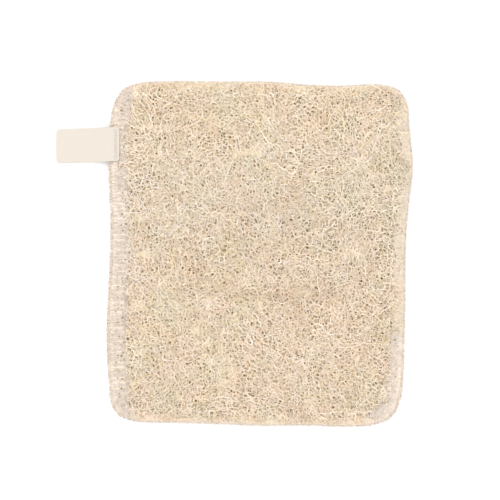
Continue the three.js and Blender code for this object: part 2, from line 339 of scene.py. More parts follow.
# Sweeps a round section along every line of edges, as thick as the points say
def tubeTree():
    tree = bpy.data.node_groups.new("Fibres along lines", "GeometryNodeTree")
    tree.is_modifier = True
    face = tree.interface
    face.new_socket("Geometry", in_out="INPUT", socket_type="NodeSocketGeometry")
    sides = face.new_socket("Sides", in_out="INPUT", socket_type="NodeSocketInt")
    sides.default_value = 5
    face.new_socket("Material", in_out="INPUT", socket_type="NodeSocketMaterial")
    face.new_socket("Geometry", in_out="OUTPUT", socket_type="NodeSocketGeometry")

    start = addNode(tree, "NodeGroupInput")
    lines = addNode(tree, "GeometryNodeMeshToCurve", {"Mesh": start.outputs["Geometry"]})
    section = addNode(tree, "GeometryNodeCurvePrimitiveCircle",
                      {"Resolution": start.outputs["Sides"], "Radius": 1}, mode="RADIUS")
    thickness = addNode(tree, "GeometryNodeInputNamedAttribute", {"Name": "thickness"}, data_type="FLOAT")
    sweep = addNode(tree, "GeometryNodeCurveToMesh", {
        "Curve": lines.outputs["Curve"], "Profile Curve": section.outputs["Curve"],
        "Scale": thickness.outputs["Attribute"], "Fill Caps": True,
    })
    smooth = addNode(tree, "GeometryNodeSetShadeSmooth", {"Geometry": sweep.outputs["Mesh"]})
    real = addNode(tree, "GeometryNodeRealizeInstances", {"Geometry": smooth.outputs["Geometry"]})
    paint = addNode(tree, "GeometryNodeSetMaterial",
                    {"Geometry": real.outputs["Geometry"], "Material": start.outputs["Material"]})
    addNode(tree, "NodeGroupOutput", {"Geometry": paint.outputs["Geometry"]})
    return tree


tubes = tubeTree()


# Turns the piece's lines into solid tubes and keeps the result as its mesh
def sweepTubes(piece, sides, material):
    modifier = piece.modifiers.new("Fibres", "NODES")
    modifier.node_group = tubes
    values = {"Sides": sides, "Material": material}
    for socket in tubes.interface.items_tree:
        if socket.in_out == "INPUT" and socket.name in values:
            modifier[socket.identifier] = values[socket.name]
    evaluated = piece.evaluated_get(bpy.context.evaluated_depsgraph_get())
    made = bpy.data.meshes.new_from_object(evaluated)
    lines = piece.data
    piece.modifiers.remove(modifier)
    piece.data = made
    bpy.data.meshes.remove(lines)
    made.name = piece.name
    triangles = sum(len(p.vertices) - 2 for p in made.polygons)
    print(f"{piece.name}: {triangles} triangles")


def newMaterial(name, values):
    material = bpy.data.materials.new(name)
    material.use_nodes = True
    shader = material.node_tree.nodes["Principled BSDF"]
    for socket, value in values.items():
        shader.inputs[socket].default_value = value
    return material, material.node_tree, shader


# Gives a surface its colour and a fine relief, whose height is in millimetres
def finishSurface(tree, shader, base, relief, look):
    raised = addNode(tree, "ShaderNodeBump", {
        "Strength": look["strength"], "Distance": look["height"] * mm, "Height": relief,
    })
    tree.links.new(base, shader.inputs["Base Color"])
    tree.links.new(raised.outputs["Normal"], shader.inputs["Normal"])


# Tints that run through the whole pad: small patches of pinkish, straw and greenish tissue, a
# fine cloudiness, and broad zones along its length, from warm beige at one end through a cooler
# middle to straw at the other.
regionTints = {
    "pink": "#f6d3b6", "straw": "#f0dcb2", "green": "#dfd8ae", "patch": 15,
    "clear": "#ffffff", "cloudy": "#fcfaf7", "cloud": 5,
    "zones": [
        (0.0, "#fffaf5"), (0.45, "#fffbf6"), (0.56, "#f8fcff"), (0.72, "#f9fdff"), (0.92, "#fffbee"),
    ],
    "zoneHalf": 80, "zoneAmount": 0.3, "zoneDrift": 0.5, "drift": 25,
}


def regionalTint(tree, base, amount):
    place = addNode(tree, "ShaderNodeTexCoord").outputs["Object"]
    patches, clouds, drift = (
        addNode(tree, "ShaderNodeTexNoise", {
            "Vector": place, "Scale": 1 / (regionTints[key] * mm), "Detail": detail,
        }).outputs["Fac"]
        for key, detail in (("patch", 2), ("cloud", 3), ("drift", 2))
    )
    tint = addNode(tree, "ShaderNodeValToRGB", {"Fac": patches}, [
        (0.3, regionTints["green"]), (0.45, regionTints["straw"]),
        (0.55, regionTints["pink"]), (0.75, regionTints["straw"]),
    ])
    tinted = addNode(tree, "ShaderNodeMix", {0: amount, 6: base, 7: tint.outputs["Color"]}, data_type="RGBA")
    shade = addNode(tree, "ShaderNodeValToRGB", {"Fac": clouds}, [
        (0.3, regionTints["cloudy"]), (0.6, regionTints["clear"]),
    ])
    clouded = addNode(tree, "ShaderNodeMix", {0: 1, 6: tinted.outputs[2], 7: shade.outputs["Color"]},
                      data_type="RGBA", blend_type="MULTIPLY")
    parts = addNode(tree, "ShaderNodeSeparateXYZ", {"Vector": place})
    along = addNode(tree, "ShaderNodeMapRange", {
        "Value": parts.outputs["Y"],
        "From Min": -regionTints["zoneHalf"] * mm, "From Max": regionTints["zoneHalf"] * mm,
    })
    drifting = addNode(tree, "ShaderNodeMath", {
        0: drift, 1: regionTints["zoneDrift"], 2: -regionTints["zoneDrift"] / 2,
    }, operation="MULTIPLY_ADD")
    zone = addNode(tree, "ShaderNodeMath", {0: along.outputs["Result"], 1: drifting.outputs["Value"]},
                   operation="ADD")
    zones = addNode(tree, "ShaderNodeValToRGB", {"Fac": zone.outputs["Value"]}, regionTints["zones"])
    return addNode(tree, "ShaderNodeMix", {
        0: regionTints["zoneAmount"], 6: clouded.outputs[2], 7: zones.outputs["Color"],
    }, data_type="RGBA", blend_type="MULTIPLY").outputs[2]


# Painted shade in the gaps of the net, where it opens on its shaded depths: small ones everywhere,
# in crowds, and a few larger olive ones where the fruit's seed channels lie open. Each cell of the
# pattern is a gap or not: share says how many are, uneven how much they crowd, patch how large the
# crowds are, and margin how much of a cell its rim takes.
gaps = [
    {"apart": 1.3, "margin": 0.05, "share": 0.6, "uneven": 0.8, "patch": 3, "shade": "#88714a"},
    {"apart": 3.4, "margin": 0.1, "share": 0.1, "uneven": 1, "patch": 20, "shade": "#77673f"},
]
gapEdge = {"wobble": 0.9, "amount": 0.6, "soft": 0.1}


# One where a many-sided gap lies between crossing hairs, to take painted shade, and zero elsewhere
def gapShadeMask(tree, hole):
    apart = hole["apart"] * mm
    place = addNode(tree, "ShaderNodeTexCoord").outputs["Object"]
    bends = addNode(tree, "ShaderNodeTexNoise", {
        "Vector": place, "Scale": 1 / (gapEdge["wobble"] * mm), "Detail": 2,
    })
    bent = addNode(tree, "ShaderNodeVectorMath", {
        0: bends.outputs["Color"], 1: (apart * gapEdge["amount"],) * 3, 2: place,
    }, operation="MULTIPLY_ADD").outputs["Vector"]
    cells, borders = (
        addNode(tree, "ShaderNodeTexVoronoi", {"Vector": bent, "Scale": 1 / apart}, feature=feature)
        for feature in ("F1", "DISTANCE_TO_EDGE")
    )
    crowds = addNode(tree, "ShaderNodeTexNoise", {
        "Vector": place, "Scale": 1 / (hole["patch"] * mm), "Detail": 1,
    })
    crowding = addNode(tree, "ShaderNodeMath", {
        0: crowds.outputs["Fac"], 1: hole["uneven"], 2: hole["share"] - hole["uneven"] / 2,
    }, operation="MULTIPLY_ADD")
    parts = addNode(tree, "ShaderNodeSeparateColor", {"Color": cells.outputs["Color"]})
    chosen = addNode(tree, "ShaderNodeMath", {0: parts.outputs["Red"], 1: crowding.outputs["Value"]},
                     operation="LESS_THAN")
    within = addNode(tree, "ShaderNodeValToRGB", {"Fac": borders.outputs["Distance"]}, [
        (hole["margin"], "#000000"), (hole["margin"] + gapEdge["soft"], "#ffffff"),
    ])
    return addNode(tree, "ShaderNodeMath", {0: within.outputs["Color"], 1: chosen.outputs["Value"]},
                   operation="MULTIPLY").outputs["Value"]


# Dried vascular fibre of the loofah fruit, bleached: pale straw with a dull waxy gloss. Every
# strand has its own tone, from pale to dark; beside the rim it runs to the edge colour, painted
# shade. The fibres near the face are paler, and the deep ones take more of the gaps' painted shade.
fibreLooks = {
    "strong": {
        "name": "Loofah fibre, bleached", "pale": "#fbf2ea", "dark": "#f4e4ca", "edge": "#e2d6cc",
        "tint": 0.2, "gaps": 0.05,
    },
    "deep": {
        "name": "Loofah fibre, deeper", "pale": "#fff5e6", "dark": "#efdcbd", "edge": "#ddd0c2",
        "tint": 0.2, "gaps": 0.4,
    },
}
fibreGrain = {"size": 0.25, "height": 0.05, "strength": 0.35}


def fibreMaterial(look):
    material, tree, shader = newMaterial(look["name"], {"Roughness": 0.55, "Specular IOR Level": 0.35})
    tone = addNode(tree, "ShaderNodeAttribute", attribute_name="tone")
    # Low tones run to the edge colour, which is painted shade beside the rim and in the crease
    body = addNode(tree, "ShaderNodeValToRGB", {"Fac": tone.outputs["Fac"]}, [
        (0.0, look["edge"]), (0.3, look["dark"]), (1.0, look["pale"]),
    ])
    tinted = regionalTint(tree, body.outputs["Color"], look["tint"])
    # Painted shade where the net's gaps lie, more on the deep fibres
    shaded = addNode(tree, "ShaderNodeMath", {0: gapShadeMask(tree, gaps[0]), 1: look["gaps"]},
                     operation="MULTIPLY")
    base = addNode(tree, "ShaderNodeMix", {0: shaded.outputs["Value"], 6: tinted, 7: gaps[0]["shade"]},
                   data_type="RGBA")
    place = addNode(tree, "ShaderNodeTexCoord").outputs["Object"]
    grain = addNode(tree, "ShaderNodeTexNoise", {
        "Vector": place, "Scale": 1 / (fibreGrain["size"] * mm), "Detail": 2,
    })
    finishSurface(tree, shader, base.outputs[2], grain.outputs["Fac"], fibreGrain)
    return material


# Matted fine fibre between the strands: pale beige, a felt of crossing hairs, with painted
# shade in both kinds of gaps in it.
felt = {
    "hairs": (1.9, 1.3), "between": "#d4be97", "hair": "#ecdcbf", "matted": "#d4c5aa", "tint": 0.2,
    "height": 0.25, "strength": 0.8,
}


def feltMaterial():
    material, tree, shader = newMaterial("Loofah felted core", {"Roughness": 0.8, "Specular IOR Level": 0.2})
    place = addNode(tree, "ShaderNodeTexCoord").outputs["Object"]
    hairs = []
    for size in felt["hairs"]:
        cells = addNode(tree, "ShaderNodeTexVoronoi", {"Vector": place, "Scale": 1 / (size * mm)},
                        feature="DISTANCE_TO_EDGE")
        hairs.append(addNode(tree, "ShaderNodeValToRGB", {"Fac": cells.outputs["Distance"]}, [
            (0.02, "#ffffff"), (0.16, "#000000"),
        ]).outputs["Color"])
    both = addNode(tree, "ShaderNodeMix", {0: 1, 6: hairs[0], 7: hairs[1]},
                   data_type="RGBA", blend_type="LIGHTEN").outputs[2]
    woven = addNode(tree, "ShaderNodeMix", {0: both, 6: felt["between"], 7: felt["hair"]}, data_type="RGBA")
    base = regionalTint(tree, woven.outputs[2], felt["tint"])
    matted = addNode(tree, "ShaderNodeAttribute", attribute_name="matted").outputs["Fac"]
    # Painted shade in both kinds of gaps, then the matted patches' own colour
    gapShades = [(gapShadeMask(tree, gap), gap["shade"]) for gap in gaps]
    for amount, shade in [*gapShades, (matted, felt["matted"])]:
        base = addNode(tree, "ShaderNodeMix", {0: amount, 6: base, 7: shade}, data_type="RGBA").outputs[2]
    finishSurface(tree, shader, base, both, felt)
    return material


# Fibres and lint pressed flat round the edge: straw where the loofah shows, and pinkish
# white where the sewing thread has been worked into it, with painted shade in pits beside the needle line.
rimLook = {
    "tones": [(0.1, "#d0c4b1"), (0.4, "#d1c7ba"), (0.8, "#dbcfc5"), (1.0, "#e6dbd1")],
    "hairs": 0.5, "between": "#d9cdb8", "hairAmount": 0.45, "tint": 0.12, "height": 0.2, "strength": 0.6,
}
# Painted shade in the needle pits
rimPitShade = {"apart": 1.5, "margin": 0.14, "share": 0.7, "uneven": 1.6, "patch": 5, "shade": "#7d6f58"}


def rimMaterial():
    material, tree, shader = newMaterial("Matted rim", {"Roughness": 0.85, "Specular IOR Level": 0.2})
    tone = addNode(tree, "ShaderNodeAttribute", attribute_name="tone")
    body = addNode(tree, "ShaderNodeValToRGB", {"Fac": tone.outputs["Fac"]}, rimLook["tones"])
    place = addNode(tree, "ShaderNodeTexCoord").outputs["Object"]
    hairs = addNode(tree, "ShaderNodeTexNoise", {
        "Vector": place, "Scale": 1 / (rimLook["hairs"] * mm), "Detail": 4,
    }).outputs["Fac"]
    shaded = addNode(tree, "ShaderNodeValToRGB", {"Fac": hairs}, [
        (0.3, rimLook["between"]), (0.48, "#ffffff"),
    ])
    haired = addNode(tree, "ShaderNodeMix", {
        0: rimLook["hairAmount"], 6: body.outputs["Color"], 7: shaded.outputs["Color"],
    }, data_type="RGBA", blend_type="MULTIPLY")
    inner = addNode(tree, "ShaderNodeAttribute", attribute_name="innerHalf")
    needleSide = addNode(tree, "ShaderNodeValToRGB", {"Fac": inner.outputs["Fac"]}, [
        (0.3, "#000000"), (0.45, "#ffffff"),
    ])
    # Painted shade in the pits on the needle line's side
    pitShade = addNode(tree, "ShaderNodeMath", {0: gapShadeMask(tree, rimPitShade), 1: needleSide.outputs["Color"]},
                   operation="MULTIPLY")
    pitShaded = addNode(tree, "ShaderNodeMix", {
        0: pitShade.outputs["Value"], 6: haired.outputs[2], 7: rimPitShade["shade"],
    }, data_type="RGBA")
    finishSurface(tree, shader, regionalTint(tree, pitShaded.outputs[2], rimLook["tint"]), hairs, rimLook)
    return material


# Woven cotton tape, undyed: creamy white and matte, with a fine plain weave that only
# shows close up.
weave = {"yarn": 0.45, "waver": 0.4, "low": "#b9b1a7", "high": "#c6beb4", "height": 0.06, "strength": 0.25}
waveLength = 0.314      # of the wave texture at a scale of one


def tapeMaterial():
    material, tree, shader = newMaterial("Woven cotton tape", {
        "Roughness": 0.9, "Specular IOR Level": 0.15, "Sheen Weight": 0.1,
    })
    place = addNode(tree, "ShaderNodeTexCoord").outputs["UV"]
    warp, weft = (
        addNode(tree, "ShaderNodeTexWave", {
            "Vector": place, "Scale": waveLength / (weave["yarn"] * mm), "Distortion": weave["waver"],
        }, bands_direction=direction).outputs["Fac"]
        for direction in ("X", "Y")
    )
    woven = addNode(tree, "ShaderNodeMath", {0: warp, 1: weft}, operation="ADD").outputs["Value"]
    body = addNode(tree, "ShaderNodeValToRGB", {"Fac": woven}, [(0.3, weave["low"]), (0.9, weave["high"])])
    finishSurface(tree, shader, body.outputs["Color"], woven, weave)
    return material


# Spun cotton sewing thread: off-white without gloss, soiled where it lies under the fibres, and
# fuzzy from its spinning.
threadLook = {
    "tones": [(0.0, "#d2c3ad"), (0.35, "#d4c7b7"), (0.8, "#cfc4b9"), (1.0, "#e6dbd1")],
    "wear": 1.4, "worn": "#c9b99f", "wearAmount": 0.4, "fuzz": 0.2, "height": 0.06, "strength": 0.4,
}


def threadMaterial():
    material, tree, shader = newMaterial("Spun cotton thread", {
        "Roughness": 0.85, "Specular IOR Level": 0.15, "Sheen Weight": 0.2,
    })
    place = addNode(tree, "ShaderNodeTexCoord").outputs["Object"]
    wear, fuzz = (
        addNode(tree, "ShaderNodeTexNoise", {
            "Vector": place, "Scale": 1 / (threadLook[key] * mm), "Detail": 3,
        }).outputs["Fac"]
        for key in ("wear", "fuzz")
    )
    tone = addNode(tree, "ShaderNodeAttribute", attribute_name="tone")
    body = addNode(tree, "ShaderNodeValToRGB", {"Fac": tone.outputs["Fac"]}, threadLook["tones"])
    worn = addNode(tree, "ShaderNodeValToRGB", {"Fac": wear}, [(0.38, threadLook["worn"]), (0.5, "#ffffff")])
    base = addNode(tree, "ShaderNodeMix", {
        0: threadLook["wearAmount"], 6: body.outputs["Color"], 7: worn.outputs["Color"],
    }, data_type="RGBA", blend_type="MULTIPLY")
    finishSurface(tree, shader, base.outputs[2], fuzz, threadLook)
    return material


# The net of fibres

web = {
    "halfSize": (74, 83),   # what the cells have to cover
    "reach": 118,           # how far out they start, before they are turned
    "row": 0.866,           # height of a row of evenly spaced points
    "jitter": 0.48,
    "centred": 0.55,        # how far a junction moves towards its triangle's circumcentre
    "moveMost": 0.6,
}


def hexPoints(pitch, halfWidth, halfHeight, rng):
    columns = int(2 * halfWidth / pitch) + 2
    rows = int(2 * halfHeight / (pitch * web["row"])) + 2
    i, j = np.meshgrid(np.arange(columns), np.arange(rows), indexing="ij")
    x = (i + 0.5 * (j % 2)) * pitch - halfWidth
    y = j * pitch * web["row"] - halfHeight
    points = np.stack([x.ravel(), y.ravel()], axis=1)
    return points + rng.uniform(-web["jitter"], web["jitter"], points.shape) * pitch


def circumcentre(a, b, c):
    ab, ac = b - a, c - a
    twice = 2 * (ab[:, 0] * ac[:, 1] - ab[:, 1] * ac[:, 0])
    twice = np.where(np.abs(twice) < 1e-9, 1e-9, twice)
    ab2, ac2 = (ab**2).sum(axis=1), (ac**2).sum(axis=1)
    x = (ac[:, 1] * ab2 - ab[:, 1] * ac2) / twice
    y = (ab[:, 0] * ac2 - ac[:, 0] * ab2) / twice
    return a + np.stack([x, y], axis=1)


# Junctions and links of a net of uneven cells, drawn out along a heading
def webOfCells(pitch, stretch, heading, rng):
    longer, shorter = math.sqrt(stretch), 1 / math.sqrt(stretch)
    cos, sin = math.cos(heading), math.sin(heading)
    seeds = hexPoints(pitch, web["reach"] / longer, web["reach"] / shorter, rng)
    turn = np.array([[cos * longer, sin * longer], [-sin * shorter, cos * shorter]])
    near = np.all(np.abs(seeds @ turn) < np.array(web["halfSize"]) + 2 * pitch, axis=1)
    result = geometry.delaunay_2d_cdt([Vector(p) for p in seeds[near]], [], [], 0, 1e-6)
    corners = np.array([tuple(v) for v in result[0]])
    faces = np.array(result[2])
    a, b, c = (corners[faces[:, k]] for k in (0, 1, 2))
    middle = (a + b + c) / 3
    most = web["moveMost"] * pitch
    junctions = middle + web["centred"] * np.clip(circumcentre(a, b, c) - middle, -most, most)
    sides = np.sort(np.concatenate([faces[:, [0, 1]], faces[:, [1, 2]], faces[:, [2, 0]]]), axis=1)
    owner = np.tile(np.arange(len(faces)), 3)
    order = np.lexsort((sides[:, 1], sides[:, 0]))
    sides, owner = sides[order], owner[order]
    shared = np.all(sides[1:] == sides[:-1], axis=1)
    links = np.stack([owner[:-1][shared], owner[1:][shared]], axis=1)
    return junctions @ turn, links


# Joins the links into long strands: at each junction the straightest pair runs through
def drawStrands(junctions, links):
    meeting = [[] for _ in junctions]
    for e, (a, b) in enumerate(links.tolist()):
        meeting[a].append(e)
        meeting[b].append(e)
    direction = junctions[links[:, 1]] - junctions[links[:, 0]]
    direction /= np.linalg.norm(direction, axis=1)[:, None] + 1e-9
    through = {}
    tails, heads = links.T.tolist()
    way = direction.tolist()
    for v, here in enumerate(meeting):
        best = None
        for i, e in enumerate(here):
            for f in here[i + 1 :]:
                flip = (1 if tails[e] == v else -1) * (1 if tails[f] == v else -1)
                bend = flip * (way[e][0] * way[f][0] + way[e][1] * way[f][1])
                if best is None or bend < best[0]:
                    best = (bend, e, f)
        if best:
            through[v, best[1]] = best[2]
            through[v, best[2]] = best[1]
    used = set()
    strands = []

    def follow(edge, vertex):
        found = []
        while True:
            found.append(vertex)
            edge = through.get((vertex, edge))
            if edge is None or edge in used:
                return found
            used.add(edge)
            vertex = heads[edge] if tails[edge] == vertex else tails[edge]

    for e in range(len(tails)):
        if e in used:
            continue
        used.add(e)
        ahead = follow(e, heads[e])
        behind = follow(e, tails[e])
        strands.append(behind[::-1] + ahead)
    return strands


# Points along smooth curves through each strand's junctions, the strand each belongs to, and
# how far it lies between two junctions
def roundStrands(points, strands, steps):
    before, first, second, after, owner, isEnd = [], [], [], [], [], []
    for s, line in enumerate(strands):
        before += [line[0]] + line[:-1]
        first += line
        second += line[1:] + [line[-1]]
        after += line[2:] + [line[-1]] * 2
        owner += [s] * len(line)
        isEnd += [False] * (len(line) - 1) + [True]
    curve = smoothSpans(*(points[np.array(k)] for k in (before, first, second, after)), steps)
    keep = np.ones((len(first), steps), bool)
    keep[np.array(isEnd), 1:] = False
    strand = np.repeat(np.array(owner)[:, None], steps, axis=1)
    phase = np.repeat(np.linspace(0, 1, steps, endpoint=False)[None, :], len(first), axis=0)
    return curve[keep], strand[keep], phase[keep]


# Drops the masked-out points, and joins what stays along each strand
def keepInside(points, strand, mask, *values):
    joined = mask[:-1] & mask[1:] & (strand[:-1] == strand[1:])
    linked = np.zeros(len(points), bool)
    linked[:-1] |= joined
    linked[1:] |= joined
    number = np.cumsum(linked) - 1
    at = np.flatnonzero(joined)
    edges = np.stack([number[at], number[at + 1]], axis=1)
    return (points[linked], edges, *[v[linked] for v in values])


# Painted shade: how much darker the fibres are made next to the edge, and how much more so on the right
paintedEdgeShade = {"all": 0.55, "right": 0.3, "within": (2, 5), "rightFrom": (50, 64)}

# How the fibres lie by the rim, where they are pressed together and cover the hidden thread
byRim = {
    "pressedWithin": 7,     # the layers reach their full depth this far in
    "pressed": 0.3,         # share of that depth at the edge
    "rise": (0.2, 0.9),     # where they climb on to the thread, from the edge
    "past": 0.6,            # how far past the seam they come down
    "fall": 1.5,
    "fringe": 1.6,          # how far they reach over the bare thread
    "fringeWaver": 0.9,
    "lift": 0.55,           # height over the rim's face, and how much more in the fringe
    "fringeLift": 0.35,
}

# How the fibres vary: their tone and thickness from one to the next, their thickness at a net's
# junctions and at loose ends, and how far and how widely a net swirls and thins out
fibre = {
    "toneSpread": 0.3, "spread": 0.25, "junction": 1.12, "waist": 0.22, "taper": 0.35,
    "swirl": 3.5, "swirlSize": 22, "thinSize": 8, "thinEach": 0.5,
    "netIn": 0.15,          # how far inside the pad's edge a net and loose fibres stay
    "looseIn": 0.25,
    "looseHalf": (72, 81),  # the loose fibres start within this
    "keepsBend": 0.75,      # how much of their bend and height they keep from step to step
    "keepsRise": 0.7,
    "clearance": 0.02,      # between the lowest fibres and the floor
}


def faceHeight(layer, x, y, wave):
    d = rimDistance.read(x, y)
    shallow = np.clip(d / byRim["pressedWithin"], byRim["pressed"], 1)
    sunk = shallow * layer["depth"] - wave * shallow
    if layer["face"] == "lower":
        return np.maximum(lowerFace(x, y) + sunk, layer["radius"])
    reach = reachField.read(x, y)
    inSeam = smoothStep(*byRim["rise"], d) * (1 - smoothStep(0, byRim["fall"], d - reach - byRim["past"]))
    grownOver = smoothStep(reach - byRim["fringe"], reach, d + byRim["fringeWaver"] * seamFringe(x, y))
    hidden = np.maximum(1 - seamShows(x, y), grownOver)
    return upperFace(x, y) - sunk + (byRim["lift"] + byRim["fringeLift"] * grownOver) * inSeam * hidden


# A strand's tone, with painted shade taken off next to the edge, more on the right, and in the crease
def toneWithPaintedShade(tone, x, y):
    byRight = smoothStep(*paintedEdgeShade["rightFrom"], x)
    near, far = paintedEdgeShade["within"]
    outermost = 1 - smoothStep(near + byRight, far + byRight, rimDistance.read(x, y))
    edgeShade = (paintedEdgeShade["all"] + paintedEdgeShade["right"] * byRight) * outermost
    return np.clip(tone - edgeShade - crease["tone"] * creased(x, y), 0, 1)


def layPiece(name, layer, points, strand, mask, thickness, tone, material):
    points, edges, thickness, tone = keepInside(points, strand, mask, thickness, tone)
    points[:, 2] = np.maximum(points[:, 2], thickness + fibre["clearance"])
    piece = meshObject(name, points, edges=edges, thickness=thickness * mm, tone=tone)
    sweepTubes(piece, layer["sides"], material)
    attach(piece, "root")
    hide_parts("loofah_pad")


def fibreLayer(name, layer, material):
    rng = np.random.default_rng(layer["seed"])
    flat, links = webOfCells(layer["pitch"], layer["stretch"], math.radians(layer["heading"]), rng)
    swirls = [softNoise(fibre["swirlSize"], layer["seed"] + k)(*flat.T) for k in (1, 2)]
    flat = flat + fibre["swirl"] * np.stack(swirls, axis=1)
    wave = rng.normal(0, layer["wave"], len(flat))
    strands = drawStrands(flat, links)
    curve, strand, phase = roundStrands(np.column_stack([flat, wave]), strands, layer["steps"])

    x, y, wave = curve.T
    z = faceHeight(layer, x, y, wave)
    ownThickness = rng.lognormal(0, fibre["spread"], len(strands))[strand]
    swell = fibre["junction"] - fibre["waist"] * np.sin(np.pi * phase)
    thickness = layer["radius"] * ownThickness * swell
    tone = rng.normal(layer["tone"], fibre["toneSpread"], len(strands))[strand]
    thin = softNoise(fibre["thinSize"], layer["seed"] + 3)(x, y)
    thin = thin + fibre["thinEach"] * rng.uniform(-1, 1, len(strands))[strand]
    mask = (rimDistance.read(x, y) > layer["radius"] + fibre["netIn"]) & (thin < layer["fullness"])
    points = np.column_stack([x, y, z])
    layPiece(name, layer, points, strand, mask, thickness, toneWithPaintedShade(tone, x, y), material)


# Single fibres that wander over and through the net in their own bends
def looseFibres(name, layer, material):
    rng = np.random.default_rng(layer["seed"])
    count, steps = layer["count"], layer["steps"]
    x, y = (rng.uniform(-half, half, count) for half in fibre["looseHalf"])
    heading = rng.uniform(0, 2 * np.pi, count)
    bend = rng.normal(0, layer["bend"], count)
    length = rng.integers(layer["shortest"], steps + 1, count)
    rise = rng.normal(0, layer["wave"], count)
    line = np.zeros((count, steps, 3))
    for k in range(steps):
        line[:, k] = np.column_stack([x, y, rise])
        x = x + layer["step"] * np.cos(heading)
        y = y + layer["step"] * np.sin(heading)
        bend = fibre["keepsBend"] * bend + rng.normal(0, layer["bend"], count)
        heading = heading + bend
        rise = fibre["keepsRise"] * rise + rng.normal(0, fibre["keepsRise"] * layer["wave"], count)
    strand = np.repeat(np.arange(count), steps)
    x, y, wave = line.reshape(-1, 3).T
    z = faceHeight(layer, x, y, wave)
    share = np.tile(np.arange(steps), count) / (length[strand] - 1)
    taper = 1 - fibre["taper"] * np.abs(2 * np.clip(share, 0, 1) - 1) ** 3
    thickness = layer["radius"] * rng.lognormal(0, fibre["spread"], count)[strand] * taper
    tone = rng.normal(layer["tone"], fibre["toneSpread"], count)[strand]
    mask = (rimDistance.read(x, y) > layer["radius"] + fibre["looseIn"]) & (share <= 1)
    points = np.column_stack([x, y, z])
    layPiece(name, layer, points, strand, mask, thickness, toneWithPaintedShade(tone, x, y), material)


# Depth is how far a layer lies under its face, wave how much its fibres rise and fall, and
# fullness how much of the net is there
upperLayers = {
    "loofah_net_top": {
        "look": "strong", "face": "upper", "pitch": 6.0, "stretch": 1.8, "heading": 62,
        "steps": 3, "sides": 5, "radius": 0.13, "depth": 0.12, "wave": 0.25,
        "tone": 0.42, "fullness": -0.05, "seed": 101,
    },
    "loofah_net_middle": {
        "look": "strong", "face": "upper", "pitch": 2.3, "stretch": 1.4, "heading": 140,
        "steps": 1, "sides": 3, "radius": 0.16, "depth": 0.22, "wave": 0.25,
        "tone": 0.72, "fullness": 1.0, "seed": 202,
    },
    "loofah_net_fine": {
        "look": "deep", "face": "upper", "pitch": 1.7, "stretch": 1.25, "heading": 20,
        "steps": 1, "sides": 3, "radius": 0.16, "depth": 0.5, "wave": 0.25,
        "tone": 0.66, "fullness": 1.0, "seed": 303,
    },
    "loofah_net_deep": {
        "look": "deep", "face": "upper", "pitch": 2.4, "stretch": 1.3, "heading": 95,
        "steps": 1, "sides": 3, "radius": 0.22, "depth": 1.0, "wave": 0.3,
        "tone": 0.5, "fullness": 1.3, "seed": 353,
    },
}

looseLayers = {
    "loofah_fibres_upper": {
        "look": "strong", "face": "upper", "count": 1700, "step": 1.2, "steps": 16, "shortest": 4,
        "bend": 0.15, "sides": 3, "radius": 0.135, "depth": 0.13, "wave": 0.2,
        "tone": 0.68, "seed": 707,
    },
    "loofah_fibres_fine": {
        "look": "strong", "face": "upper", "count": 1800, "step": 1.0, "steps": 10, "shortest": 4,
        "bend": 0.2, "sides": 3, "radius": 0.12, "depth": 0.06, "wave": 0.2,
        "tone": 0.85, "seed": 727,
    },
    "loofah_fibres_inner": {
        "look": "deep", "face": "upper", "count": 1500, "step": 1.2, "steps": 16, "shortest": 5,
        "bend": 0.24, "sides": 3, "radius": 0.18, "depth": 0.5, "wave": 0.3,
        "tone": 0.7, "seed": 717,
    },
}

lowerLayers = {
    "loofah_net_bottom": {
        "look": "strong", "face": "lower", "pitch": 4.2, "stretch": 1.5, "heading": 120,
        "steps": 2, "sides": 3, "radius": 0.27, "depth": 0.3, "wave": 0.15,
        "tone": 0.85, "fullness": 0.9, "seed": 404,
    },
    "loofah_net_lower": {
        "look": "deep", "face": "lower", "pitch": 3.0, "stretch": 1.3, "heading": 30,
        "steps": 1, "sides": 3, "radius": 0.24, "depth": 0.6, "wave": 0.3,
        "tone": 0.6, "fullness": 1.2, "seed": 505,
    },
}


# The felted core: a closed body whose two faces lie just under the nets
core = {
    "halfSize": (73, 82), "spacing": 1.35, "seed": 77,
    "edgeIn": 0.9,          # how far inside the pad's edge its own edge runs
    "clear": 1.9,           # where its inner points start
    "skin": 0.35,           # depth of its faces at the edge
    "depth": 1.35,          # and over the rest of the pad
    "deepWithin": 7,
    "relief": 0.35,
    "coarse": 3.2, "finer": 1.7, "finerShare": 0.6,     # sizes of its relief
    "patchRise": 1.0,       # how much matted patches rise
    "patch": 6, "patchFrom": (0.6, 0.9),
    "thinnest": 0.5,
}


def smoothShaded(piece, material):
    piece.data.materials.append(material)
    piece.data.polygons.foreach_set("use_smooth", [True] * len(piece.data.polygons))


# Leaves out the points that no face uses
def usedPoints(faces):
    used = sorted({int(i) for face in faces for i in face})
    number = {old: new for new, old in enumerate(used)}
    return used, [tuple(number[int(i)] for i in face) for face in faces]


